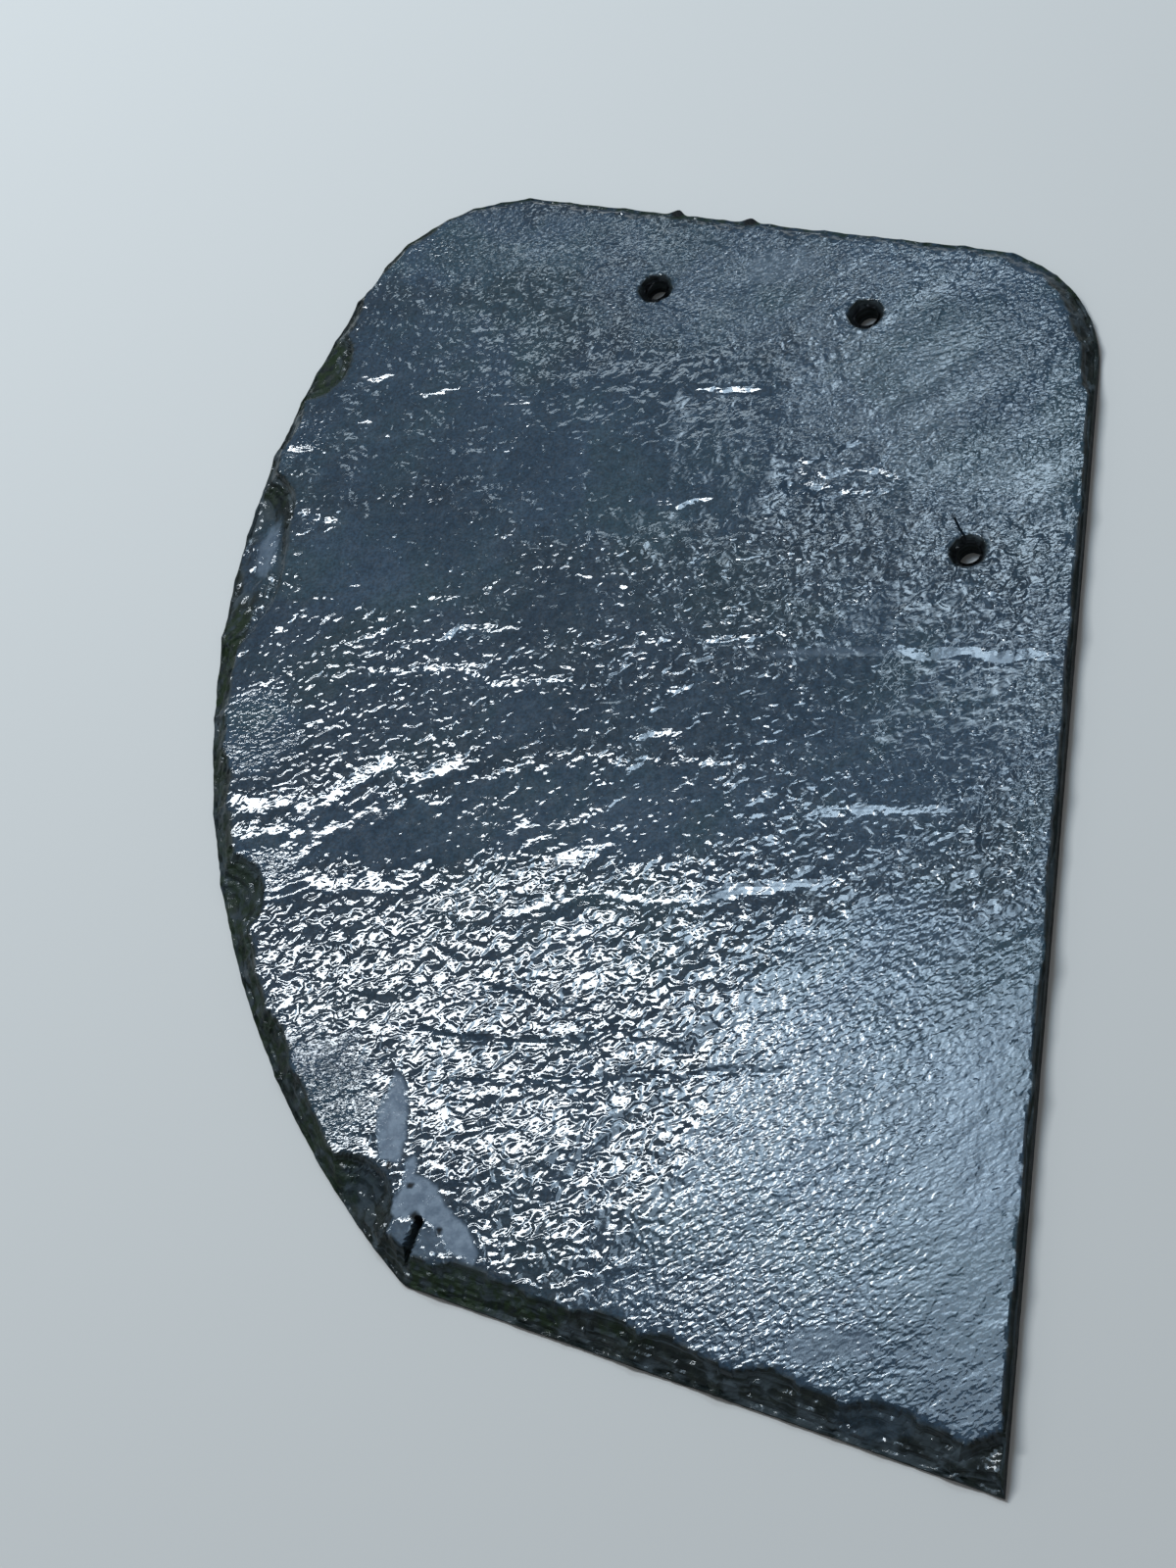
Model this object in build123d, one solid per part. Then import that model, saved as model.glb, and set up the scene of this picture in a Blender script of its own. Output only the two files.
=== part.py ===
from build123d import *
from math import cos, radians, sin, tan
import os

# A hand-dressed scale slate for a roof: one riven plate with a straight right edge (the breast),
# a curved left edge (the back), a sloping lower edge (the foot) and a sloping upper edge (the head).
# It lies on its flat back, face up. While it is modelled, the origin is the tip, which is the
# lower right corner, with +X to the right and +Y up the slate.
# Sizes are in millimetres and angles in degrees.

# The plate
THICKNESS = 6.0
FOOT_SLOPE = 14.8            # the foot rises from the tip to the heel, its lower left corner
FOOT_LENGTH = 137.0
BREAST_HEIGHT = 294.4        # up to the sharp head corner, before it is rounded
HEAD_SLOPE = 12.8            # the head rises from there to the shoulder, its upper left corner
HEAD_LENGTH = 181.8          # from sharp corner to sharp corner
BACK_REACH = 213.3           # from the breast to the widest point of the back
BACK_REACH_HEIGHT = 204.0
LOWER_BACK_BULGE = 18.8      # rise of each arc over its chord
UPPER_BACK_BULGE = 10.6
SHOULDER_RADIUS = 41.0
HEAD_CORNER_RADIUS = 38.0
HEEL_RADIUS = 6.0

# Dressed edges. Each hammer blow takes a flake off the face side: the scar starts a run inside
# the outline, slopes down to it, and leaves a thin lip of the sheared wall below.
FOOT_RUN = 7.4
FOOT_LIP = 1.1
FOOT_PITCH = 9.0
FOOT_SCAR_RADIUS = 30.0      # hollow of a scar, across the blow
FOOT_SKEW = 9.0              # how far a scar turns from square to the edge, either way
LOWER_BACK_RUN = 6.0
UPPER_BACK_RUN = 5.0
BACK_LIP = 0.9
BACK_PITCH = 9.5
BACK_SCAR_RADIUS = 34.0
BACK_SKEW = 7.0
HEAD_RUN = 4.8
HEAD_LIP = 1.6
HEAD_PITCH = 7.0
HEAD_SCAR_RADIUS = 32.0
HEAD_SKEW = 3.0
BREAST_RUN = 1.2
BREAST_LIP = 3.6
BREAST_PITCH = 14.0
BREAST_SCAR_RADIUS = 80.0
BREAST_SKEW = 1.5
PITCH_SPREAD = 0.3           # how unevenly the blows are spaced, as a share of the pitch
BITE_SPREAD = 0.2            # how far the run of a scar strays, as a share of the run

# Large shell-shaped scars where the stone broke deeper. Each is a bowl: its width on the face,
# how far outside the outline its centre lies, its depth there, and its place along the stretch.
BACK_SHELL_WIDTH = 72.0
BACK_SHELL_OFFSET = 20.0
BACK_SHELL_DEPTH = 6.5
BACK_SHELL_PLACE = 0.07      # share of the upper back, from its widest point up
BACK_STEP_WIDTH = 29.0       # the steep upper end of the same break
BACK_STEP_OFFSET = 0.5
BACK_STEP_DEPTH = 5.0
BACK_STEP_PLACE = 0.2        # share of the upper back, from its widest point up
UPPER_CHIP_WIDTH = 24.0
UPPER_CHIP_OFFSET = 0.0
UPPER_CHIP_DEPTH = 3.2
UPPER_CHIP_PLACE = 0.54      # share of the upper back, from its widest point up
NOTCH_WIDTH = 25.0
NOTCH_OFFSET = 0.5
NOTCH_DEPTH = 4.4
NOTCH_PLACE = 0.57           # share of the lower back, from the heel up
HEEL_SHELL_WIDTH = 28.0
HEEL_SHELL_OFFSET = 2.0
HEEL_SHELL_DEPTH = 4.2
HEEL_SHELL_PLACE = 0.115     # share of the lower back, from the heel up
FOOT_SHELL_WIDTH = 29.0
FOOT_SHELL_OFFSET = 5.0
FOOT_SHELL_DEPTH = 5.0
FOOT_SHELL_PLACE = 0.19      # share of the foot, from the tip

# An open crack that runs in from the heel
CRACK_LENGTH = 14.0
CRACK_WIDTH = 2.0            # on the face
CRACK_DEPTH = 3.2
CRACK_TURN = 77.0            # its direction, from +X

# The top layer is broken off at the tip, down to a ledge
LEDGE_LENGTH = 14.0          # along the foot
LEDGE_HEIGHT = 10.3          # along the breast
LEDGE_DEPTH = 2.4
LEDGE_LEAN = 40.0            # slope of the broken wall, off the vertical

# Nail holes, gauged from the edge and from the sharp head corner. The punch is driven from the
# back, so the face spalls into a funnel.
NAIL_INSET = 25.5            # from the edge that a hole stands along
SHOULDER_HOLE_ALONG = 109.4  # along the head
HEAD_HOLE_ALONG = 52.3       # along the head
BREAST_HOLE_ALONG = 82.2     # down the breast
NAIL_HOLE_RADIUS = 2.7
SPALL_RADIUS = 4.7
SPALL_DEPTH = 1.7

CUT_MARGIN = 10.0            # how far a cutting tool passes the plate
PITCH_STEP = 0.618034        # two uneven steps that scatter the blows without a repeat
BITE_STEP = 0.754878


def uphill(slope):
    """The direction that runs to the left and rises by a slope."""
    return Vector(-cos(radians(slope)), sin(radians(slope)))


TIP = Vector(0, 0)
HEEL = TIP + uphill(FOOT_SLOPE) * FOOT_LENGTH
WIDEST = Vector(-BACK_REACH, BACK_REACH_HEIGHT)
HEAD_CORNER = Vector(0, BREAST_HEIGHT)
SHOULDER = HEAD_CORNER + uphill(HEAD_SLOPE) * HEAD_LENGTH
FOOT = Line(TIP, HEEL)
LOWER_BACK = SagittaArc(HEEL, WIDEST, LOWER_BACK_BULGE)
UPPER_BACK = SagittaArc(WIDEST, SHOULDER, UPPER_BACK_BULGE)
HEAD = Line(HEAD_CORNER, SHOULDER)
BREAST = Line(HEAD_CORNER, TIP)


def rounded_outline():
    """The plan of the slate, with all but its lower right corner rounded."""
    outline = make_face(FOOT + LOWER_BACK + UPPER_BACK + HEAD + BREAST)
    corners = (
        (SHOULDER, SHOULDER_RADIUS),
        (HEAD_CORNER, HEAD_CORNER_RADIUS),
        (HEEL, HEEL_RADIUS),
    )
    for corner, radius in corners:
        outline = fillet(outline.vertices().sort_by_distance(corner)[0], radius)
    return outline


OUTLINE = rounded_outline()
CENTRE = OUTLINE.center()


def outline_stretch(near):
    """The edge of the rounded outline that is nearest to a point."""
    return OUTLINE.edges().sort_by_distance(near)[0]


def outward_at(edge, place):
    """The level direction that points off the slate, square to its edge."""
    along = edge % place
    across = Vector(along.Y, -along.X)
    if across.dot((edge @ place) - CENTRE) < 0:
        across = across * -1
    return across


def blow(edge, place, run, lip, scar_radius, turn):
    """The trough that one hammer blow leaves: a cylinder laid down the slope of the edge."""
    point = edge @ place
    outward = outward_at(edge, place).rotate(Axis.Z, turn)
    inner = point - outward * run + Vector(0, 0, THICKNESS)
    outer = point + Vector(0, 0, lip)
    down = (outer - inner).normalized()
    level = Vector(-outward.Y, outward.X, 0)
    normal = level.cross(down)
    if normal.Z < 0:
        normal = normal * -1
    middle = (inner + outer) / 2 + normal * scar_radius
    length = (outer - inner).length + 2 * CUT_MARGIN
    return Plane(origin=middle, z_dir=down) * Cylinder(scar_radius, length)


def scatter(i, step):
    """The i-th of a row of uneven numbers between -1 and 1."""
    return 2 * ((i * step) % 1) - 1


def blows_along(edge, run, lip, pitch, scar_radius, skew):
    """A row of blows with uneven spacing, bite and direction."""
    count = max(1, round(edge.length / pitch))
    cutters = []
    for i in range(count):
        place = (i + 0.5 + PITCH_SPREAD * scatter(i, PITCH_STEP)) / count
        bite = run * (1 + BITE_SPREAD * scatter(i, BITE_STEP))
        turn = skew * scatter(i, PITCH_STEP * BITE_STEP)
        cutters.append(blow(edge, place, bite, lip, scar_radius, turn))
    return cutters


def dressing():
    """The blows all round the outline."""
    foot = (FOOT_RUN, FOOT_LIP, FOOT_PITCH, FOOT_SCAR_RADIUS, FOOT_SKEW)
    lower_back = (LOWER_BACK_RUN, BACK_LIP, BACK_PITCH, BACK_SCAR_RADIUS, BACK_SKEW)
    upper_back = (UPPER_BACK_RUN, BACK_LIP, BACK_PITCH, BACK_SCAR_RADIUS, BACK_SKEW)
    head = (HEAD_RUN, HEAD_LIP, HEAD_PITCH, HEAD_SCAR_RADIUS, HEAD_SKEW)
    breast = (BREAST_RUN, BREAST_LIP, BREAST_PITCH, BREAST_SCAR_RADIUS, BREAST_SKEW)
    stretches = (
        (FOOT @ 0.5, foot),
        (HEEL, foot),
        (LOWER_BACK @ 0.5, lower_back),
        (UPPER_BACK @ 0.5, upper_back),
        (SHOULDER, head),
        (HEAD @ 0.5, head),
        (HEAD_CORNER, head),
        (BREAST @ 0.5, breast),
    )
    cutters = []
    for near, sizes in stretches:
        cutters += blows_along(outline_stretch(near), *sizes)
    return cutters


def shell_scar(edge, place, width, offset, depth):
    """The bowl of a large flake, as the sphere that it is part of."""
    centre = (edge @ place) + outward_at(edge, place) * offset
    radius = ((width / 2) ** 2 + depth ** 2) / (2 * depth)
    return Pos(centre.X, centre.Y, THICKNESS - depth + radius) * Sphere(radius)


def shell_scars():
    """The large flakes."""
    return [
        shell_scar(UPPER_BACK, BACK_SHELL_PLACE, BACK_SHELL_WIDTH, BACK_SHELL_OFFSET, BACK_SHELL_DEPTH),
        shell_scar(UPPER_BACK, BACK_STEP_PLACE, BACK_STEP_WIDTH, BACK_STEP_OFFSET, BACK_STEP_DEPTH),
        shell_scar(UPPER_BACK, UPPER_CHIP_PLACE, UPPER_CHIP_WIDTH, UPPER_CHIP_OFFSET, UPPER_CHIP_DEPTH),
        shell_scar(LOWER_BACK, NOTCH_PLACE, NOTCH_WIDTH, NOTCH_OFFSET, NOTCH_DEPTH),
        shell_scar(LOWER_BACK, HEEL_SHELL_PLACE, HEEL_SHELL_WIDTH, HEEL_SHELL_OFFSET, HEEL_SHELL_DEPTH),
        shell_scar(FOOT, FOOT_SHELL_PLACE, FOOT_SHELL_WIDTH, FOOT_SHELL_OFFSET, FOOT_SHELL_DEPTH),
    ]


def heel_crack():
    """The wedge that opens the crack. It reaches as far above the face as below it."""
    inward = Vector(1, 0).rotate(Axis.Z, CRACK_TURN)
    start = HEEL - inward * CUT_MARGIN + Vector(0, 0, THICKNESS)
    section = Plane(origin=start, x_dir=Vector(-inward.Y, inward.X), z_dir=inward)
    wedge = section * Polyline(
        (-CRACK_WIDTH, CRACK_DEPTH),
        (0, -CRACK_DEPTH),
        (CRACK_WIDTH, CRACK_DEPTH),
        close=True,
    )
    return extrude(make_face(wedge), CUT_MARGIN + CRACK_LENGTH, dir=inward)


def tip_ledge():
    """The broken layer at the tip: a block over the ledge whose inner wall leans back."""
    on_foot = FOOT @ (LEDGE_LENGTH / FOOT_LENGTH)
    on_breast = TIP + Vector(0, LEDGE_HEIGHT)
    along = (on_breast - on_foot).normalized()
    outward = Vector(along.Y, -along.X)
    corner = (on_foot + on_breast) / 2 + Vector(0, 0, THICKNESS - LEDGE_DEPTH)
    section = Plane(origin=corner - along * LEDGE_LENGTH, x_dir=outward, z_dir=along * -1)
    height = LEDGE_DEPTH + CUT_MARGIN
    wall = section * Polyline(
        (0, 0),
        (LEDGE_LENGTH + CUT_MARGIN, 0),
        (LEDGE_LENGTH + CUT_MARGIN, height),
        (-height * tan(radians(LEDGE_LEAN)), height),
        close=True,
    )
    return extrude(make_face(wall), 2 * LEDGE_LENGTH, dir=along)


def nail_hole_places():
    """Each hole's name and its place on the face."""
    rows = (
        ("shoulder", HEAD, SHOULDER_HOLE_ALONG),
        ("head", HEAD, HEAD_HOLE_ALONG),
        ("breast", BREAST, BREAST_HOLE_ALONG),
    )
    places = {}
    for name, edge, along in rows:
        place = along / edge.length
        places[name] = (edge @ place) - outward_at(edge, place) * NAIL_INSET
    return places


def nail_hole(place):
    """A punched hole with its spall funnel on the face."""
    bore = Pos(place.X, place.Y, THICKNESS / 2) * Cylinder(NAIL_HOLE_RADIUS, THICKNESS + CUT_MARGIN)
    funnel_height = SPALL_DEPTH + CUT_MARGIN
    widening = (SPALL_RADIUS - NAIL_HOLE_RADIUS) / SPALL_DEPTH
    funnel = Cone(
        NAIL_HOLE_RADIUS,
        NAIL_HOLE_RADIUS + widening * funnel_height,
        funnel_height,
        align=(Align.CENTER, Align.CENTER, Align.MIN),
    )
    return bore + Pos(place.X, place.Y, THICKNESS - SPALL_DEPTH) * funnel


def scale_slate():
    """The finished slate, still about its tip. The scars are cut one at a time, as they were struck."""
    plate = extrude(OUTLINE, THICKNESS)
    holes = [nail_hole(place) for place in nail_hole_places().values()]
    for cutter in dressing() + shell_scars() + [heel_crack(), tip_ledge()] + holes:
        plate -= cutter
    return plate


slate = scale_slate()

# Move the origin to the middle of the back's bounding rectangle
box = slate.bounding_box()
to_origin = Vector(-box.center().X, -box.center().Y)
slate = Pos(to_origin) * slate

os.makedirs("parts", exist_ok=True)
export_step(slate, "parts/scale_slate.step")

print("size", [round(side, 2) for side in box.size])
print("tip at", round(to_origin.X, 3), round(to_origin.Y, 3))
for name, place in nail_hole_places().items():
    print(name, "nail hole at", round(place.X + to_origin.X, 3), round(place.Y + to_origin.Y, 3))
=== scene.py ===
"""Looks of the slate roof tile: one riven, hand-dressed scale slate, wet from rain.

The CAD slate gives every height. This script lays a fine mesh over it, works the riven relief,
the split layers and the rough broken edges into the stone, and gives it a wet slate material.
Lengths are in millimetres up to the point where a mesh is made, and in metres after that.
"""

import math

import bpy
import numpy as np
from mathutils import Matrix, Vector
from mathutils.bvhtree import BVHTree
from mathutils.geometry import delaunay_2d_cdt
from mathutils.kdtree import KDTree


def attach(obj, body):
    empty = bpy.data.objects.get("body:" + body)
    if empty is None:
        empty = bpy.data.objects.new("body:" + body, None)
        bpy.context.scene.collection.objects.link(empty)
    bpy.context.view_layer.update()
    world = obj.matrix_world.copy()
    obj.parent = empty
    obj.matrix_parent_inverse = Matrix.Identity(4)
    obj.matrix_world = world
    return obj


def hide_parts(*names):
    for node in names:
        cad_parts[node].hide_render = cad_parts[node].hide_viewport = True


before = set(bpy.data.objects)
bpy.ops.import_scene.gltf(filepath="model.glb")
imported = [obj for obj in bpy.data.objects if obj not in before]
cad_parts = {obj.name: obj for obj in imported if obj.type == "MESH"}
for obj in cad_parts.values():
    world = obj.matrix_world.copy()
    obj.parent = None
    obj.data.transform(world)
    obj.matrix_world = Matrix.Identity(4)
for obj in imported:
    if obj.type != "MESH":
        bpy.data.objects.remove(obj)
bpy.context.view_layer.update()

MM = 0.001
DOWN = Vector((0, 0, -1))
# Rays down on the CAD slate start at the first height. A hit below the second is no stone.
ABOVE_ALL = 20.0
LEAST_STONE = 0.3

# The thickness of the CAD slate, and the lowest that the visible face may lie.
THICKNESS = 6.0
LEAST_HEIGHT = 0.05

# How fine the mesh is: spacing of its places at the edges, on the face, in the fine spots and on
# the back, and the gap that they keep from the outline and the holes.
EDGE_SPACING = 0.64
FACE_SPACING = 1.09
FINE_SPACING = 0.66
BACK_SPACING = 3.2
EDGE_GAP = 0.3
# Lines of places that run beside the outline: how many, how their distance from it grows, and the
# share of that distance that each place keeps from the whole outline.
RING_COUNT = 13
RING_FIRST = 0.40
RING_GROWTH = 0.025
RING_CLEAR = 0.94
# Corners of the outline that turn by more than the first stay where they are, and faces that meet
# at more than the second are shaded with a crease.
SHARP_TURN = math.radians(25)
CREASE = math.radians(26)
# Rows of faces down the walls.
WALL_ROWS = 6
# Spots that need a fine mesh: place across and up the slate, and reach.
FINE_SPOTS = ((-5.6, 129.3, 10), (50.1, 116.7, 9), (81.2, 47.8, 10), (-28, -112, 21), (-92, 62, 26),
              (47, 72, 19))

# The direction of the stone's grain near the foot, at the left of the head and in fine-grained
# stone, the heights between which it turns, and the places across beyond which it doesn't.
LOWER_GRAIN = math.radians(34)
UPPER_GRAIN = math.radians(-22)
FINE_GRAIN = math.radians(16)
GRAIN_TURNS = (-20.0, 70.0)
GRAIN_KEPT = (5.0, 45.0)

# Riven relief: how far the face is sunk below the CAD's and raised again, and length, width and
# height of its ridges.
FACE_SUNK = 0.30
FACE_RAISED = 0.12
SWELL = (95, 55, 0.17)
RIDGES = (30, 11, 0.105)
RIPPLES = (11.0, 6.5, 0.048)
PIMPLES = (5.4, 3.8, 0.018)

# Thin layers of the slate that end on the face: length and width of the area of one, how many
# there are, the drop at each one's edge, and the part of a layer that the drop takes up.
LAYER_FIELD = (70, 30)
LAYER_COUNT = 3.4
LAYER_DROP = 0.11
LAYER_EDGE = 0.10

# Layer edges seen in the photograph: a line of places, and the slope and width of the riser that
# faces the foot below it. Most of them mirror the light, and the last three are steep and stay dark.
LAYER_LINES = (
    (((-97, -14), (-85, -13), (-70, -14), (-60, -8), (-52, -3), (-42, -7), (-30, -3)), 0.072, 4.5),
    (((-88, -23), (-75, -22), (-68, -24), (-59, -21)), 0.055, 2.2),
    (((-80, -36), (-66, -34), (-50, -34), (-38, -33)), 0.040, 5.0),
    (((-16, -42), (5, -38), (22, -40), (38, -37), (60, -35)), 0.048, 2.6),
    (((-63, 21), (-45, 20.5), (-36, 19.5), (-28, 15.5), (-18, 16.5), (-8, 15.5)), 0.107, 1.5),
    (((20, 25.5), (30, 27), (40, 26.5)), 0.125, 1.4),
    (((66, 22), (85, 21.5), (104, 20.5)), 0.118, 2.4),
    (((52, -19), (68, -17.5), (82, -17)), 0.075, 2.0),
    (((-1, 64), (10, 65), (21, 65.5)), 0.162, 1.6),
    (((30, 65), (36, 69), (44, 69), (51, 68)), 0.165, 1.6),
    (((33, 72), (40, 73), (48, 71.5), (58, 71), (64, 69)), 0.170, 1.6),
    (((34, 75.5), (42, 76), (50, 79), (56, 82)), 0.175, 1.6),
    (((43, 64.5), (52, 66), (57, 64.5), (64, 67)), 0.163, 1.6),
    (((6, 97), (18, 98.5), (29, 96)), 0.200, 2.2),
    (((-100, 88), (-92, 86), (-84, 84)), 0.188, 1.8),
    (((-91, 81.5), (-84, 79.5)), 0.183, 1.6),
    (((-91, 66.5), (-84, 65), (-78, 63.5)), 0.165, 1.8),
    (((-84, 93), (-78, 94), (-72, 95)), 0.196, 1.6),
    (((-79, 87.5), (-73, 88.5), (-67, 89.5)), 0.190, 1.6),
    (((-66, 101), (-60, 101.5), (-52, 103)), 0.206, 1.7),
    (((-84, 107), (-77, 107), (-70, 109)), 0.212, 1.7),
    (((-46, 81), (-40, 82), (-33, 84)), 0.184, 1.4),
    (((-44, 96), (-38, 97), (-30, 98.5)), 0.200, 1.4),
    (((-46, 28), (-40, 31.5), (-28, 31.5)), 0.116, 2.2),
    (((8, 1.5), (14, 3), (20, 2)), 0.095, 2.2),
    (((-68, 28), (-63, 29.5), (-57, 34)), 0.122, 1.4),
    (((-34, -71), (-10, -75), (15, -71), (34, -76)), 0.15, 1.2),
    (((-20, -60), (0, -66), (14, -64)), 0.17, 1.1),
    (((-24, -84), (0, -83), (30, -81), (56, -79)), 0.12, 1.0),
)
# How far a layer edge fades out below its riser, and past and inside its two ends.
LAYER_FADE = 16.0
LINE_PAST = 3
LINE_INSIDE = 5

# Hollows in the face: place, half length, half width, turn in degrees and depth.
HOLLOWS = (
    (-50, -22, 19, 6, 6, 0.12),
    (-27, -26, 16, 8, 10, 0.10),
    (17, 9, 9, 4, 35, 0.26),
    (4, 17, 6, 4, 80, 0.20),
    (-35, 40, 9, 4, 0, 0.22),
    (-72, -31, 11, 5, 20, 0.12),
    (-15, 70, 26, 14, -20, 0.16),
    (-55, 85, 30, 16, -25, 0.14),
    (20, 130, 14, 8, 10, 0.12),
)

# The dressed edge breaks off sharply: the face stays up where the CAD has sunk by the first depth,
# and meets it at the second.
BREAK = (0.30, 1.15)
# Small treads on the bevel where layers snapped off: thickness of a layer, how unevenly it ends,
# how far the bevel wanders sideways, and the depth of its fine roughness.
BEVEL_LAYER = 0.85
BEVEL_ROUGHNESS = 0.55
EDGE_WANDER = 0.55
BEVEL_GRIT = 0.16
# Bites into the outline: at the dressed edges, at the straight edge, where that starts across the
# slate, and at the holes' lower and upper rims.
EDGE_BITE = 0.38
STRAIGHT_BITE = 0.14
STRAIGHT_FROM = 104.5
HOLE_LOWER_BITE = 0.25
HOLE_UPPER_BITE = 0.35
# How far single layers are set back in the outer wall and in the holes' walls.
WALL_LAYER_BITE = 0.30
HOLE_LAYER_BITE = 0.12
# Relief of the back.
BACK_RELIEF = 0.30

# Small flake scars that overlap on the broken edge: spacing, how far their centres wander, least
# and greatest reach and depth, and how many of them may overlap.
SCAR_SPACING = 3.3
SCAR_WANDER = 1.6
SCAR_REACH = (2.1, 4.6)
SCAR_DEPTH = (0.22, 0.62)
SCAR_OVERLAPS = 5

# The ledge round the large flake at the curved edge: its line as heights up the slate and places
# across, and the drop on its outer side.
FLAKE_LEDGE_Y = (6, 25, 40, 52, 60, 67, 73, 79)
FLAKE_LEDGE_X = (-95.0, -93.6, -91.8, -90.9, -91.6, -93.4, -96.6, -102.0)
FLAKE_LEDGE_DROP = 0.85

# Dry, smooth patches beside the lower left corner, pale where the wet film has drawn off.
DRY_PATCHES = (
    ((-34.7, -82.2), (-31.9, -85.2), (-30.3, -90.3), (-29.5, -97.8), (-29.4, -103.5), (-31.4, -103.8),
     (-34.6, -102.6), (-36.6, -96.0), (-36.6, -90.6), (-35.3, -86.9)),
    ((-27.9, -102.7), (-26.0, -101.9), (-25.5, -106.0), (-20.5, -108.1), (-17.5, -112.5), (-11.5, -117.3),
     (-7.9, -122.8), (-8.6, -125.5), (-14.7, -123.1), (-18.2, -118.4), (-22.9, -115.6), (-26.4, -116.3),
     (-30.3, -115.4), (-29.6, -111.5), (-27.9, -109.9)),
)

# Crumbs of dirt at the head's edge: place, reach and how far each stands out.
CRUMBS = ((-4.4, 155.6, 1.6, 1.7), (15.6, 151.1, 2.0, 1.5))
# The fine crack beside the hole at the straight edge, painted black as the shade in it: line, half width
# and depth.
CRACK = ((80.2, 51.8), (79.1, 53.4), (78.3, 55.0), (77.2, 57.2))
CRACK_HALF_WIDTH = 0.30
CRACK_DEPTH = 0.5
# Small pits in the dry patches, painted black as the shade in them: place and reach.
PITS = ((-31.9, -104.4, 1.3), (-26.1, -108.8, 1.0), (-17.6, -118.4, 1.1), (-23.8, -115.6, 1.6))

# Oval areas of the face, each with its place, its reach across and up the slate, and its share.
# Large flakes whose floors are clean slate.
CLEAN_FLAKES = ((-98, 57, 8, 13, 0.95), (-95, 38, 4, 16, 0.8), (-38, -108, 6, 6, 0.30),
                (80, -152, 9, 4, 0.35))
# Pale places where hardly any water lies, and a painted sheen on the large flake's floor.
PALE_AND_SHEEN_PATCHES = ((-98.5, 58, 2.8, 9, 0.55), (69, -138, 9, 4.5, 0.45), (27, 133, 10, 6, 0.22),
                (-16, -121, 6, 3, 0.35), (-24, -121, 8, 5, 0.30), (51, 22, 16, 1.3, 0.30))
# Algae and moss.
MOSS_SPOTS = ((-91, 111, 8, 10, 1.0), (-94, 103, 6, 6, 0.8), (-102, 33, 4, 9, 0.9), (-102, 20, 4, 9, 0.9),
              (-100, 73, 4, 4, 0.6), (-12, -129, 13, 7, 0.9), (8, -131, 11, 6, 0.9), (30, -135, 9, 5, 0.7),
              (-80, -48, 7, 9, 0.7), (-90, -24, 5, 9, 0.6), (-4, 152.5, 2.5, 2.5, 0.9),
              (17, 148, 2.5, 2.5, 0.9), (-70, -72, 12, 18, 0.65), (-52, -102, 14, 14, 0.65),
              (-86, -40, 8, 12, 0.7), (-97, -5, 6, 16, 0.5))
# Fine-grained stone, which glitters instead of showing single glints.
FINE_PATCHES = ((-89, 4, 13, 13, 0.9), (-82, -34, 17, 8, 0.8), (-52, -89, 15, 16, 0.95),
                (-96, 90, 9, 10, 0.8), (-62, 147, 26, 13, 0.9), (-30, 146, 30, 10, 0.8),
                (86, 95, 40, 46, 1.0), (80, 96, 56, 54, 0.55), (103, 8, 7, 60, 0.5),
                (30, 130, 60, 22, 0.8), (-97, 60, 5, 10, 0.9))
# Still water, which is dark between the glints.
STILL_PATCHES = ((-46, -23, 32, 10, 1.0), (-76, -27, 18, 6, 0.8), (0, -18, 50, 14, 0.9),
                 (35, 6, 42, 12, 0.6), (-62, 52, 34, 18, 0.75), (0, 82, 62, 32, 0.85),
                 (-62, 100, 40, 34, 0.6), (-15, 6, 22, 8, 0.5), (-20, 38, 26, 10, 0.35),
                 (-24, -120, 9, 6, 0.9), (72, 8, 34, 38, 0.78), (60, -14, 34, 24, 0.5))
# Beads of water on a smooth film.
BEAD_PATCHES = ((74, 6, 36, 44, 1.0), (-60, 96, 44, 44, 0.7), (10, 60, 60, 50, 0.5))
# Damp stone with little water on it, which shines less.
DAMP_PATCHES = ((-55, -88, 15, 16, 0.45), (-88, 3, 11, 12, 0.25), (80, 103, 30, 24, 0.20))

# The head's edge, which broke off clean: places across and heights of its line, and the share of
# the broken stone's dark colour that it lacks.
HEAD_EDGE_X = (-60, -45, 85, 94)
HEAD_EDGE_Y = (155, 160, 131, 124)
HEAD_CLEAN = 0.8

# The masks that the mesh carries for the material, and those that aren't 0 on the walls and back.
MASKS = ("dressed", "moss", "dry_and_sheen", "hole_shade_and_dirt", "wet", "rough", "fine", "calm", "ridge_wear_and_highlight", "beads")
# The walls, the nail holes' walls too, take the broken edges' dark colour, which is partly painted shade.
WALL_MASKS = {"dressed": 1.0, "wet": 0.12, "rough": 0.3, "fine": 0.3}
BACK_MASKS = {"wet": 0.5, "rough": 0.3, "fine": 0.3}

# Colours, linear.
SLATE_DEEP = (0.013, 0.031, 0.052, 1)
SLATE_MID = (0.023, 0.046, 0.073, 1)
SLATE_PALE = (0.040, 0.067, 0.096, 1)
SLATE_TEAL = (0.020, 0.044, 0.060, 1)
SLATE_WARM = (0.044, 0.054, 0.058, 1)
# Dark colours of the broken edges and walls: algae and broken stone, and partly painted shade where they
# turn from the light.
EDGE_DARK_AND_SHADE = (0.005, 0.009, 0.009, 1)
EDGE_BROWN_AND_SHADE = (0.013, 0.018, 0.015, 1)
# Lighter slate on the broken edges: layer streaks, and on the ridges wear and a painted highlight.
EDGE_SLATE = (0.052, 0.068, 0.078, 1)
MOSS_GREEN = (0.013, 0.024, 0.009, 1)
# Pale dry stone, also used for a painted sheen on the large flake's floor.
DRY_AND_SHEEN_GREY = (0.118, 0.152, 0.196, 1)
DRY_AND_SHEEN_PALE = (0.195, 0.238, 0.288, 1)
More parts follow.
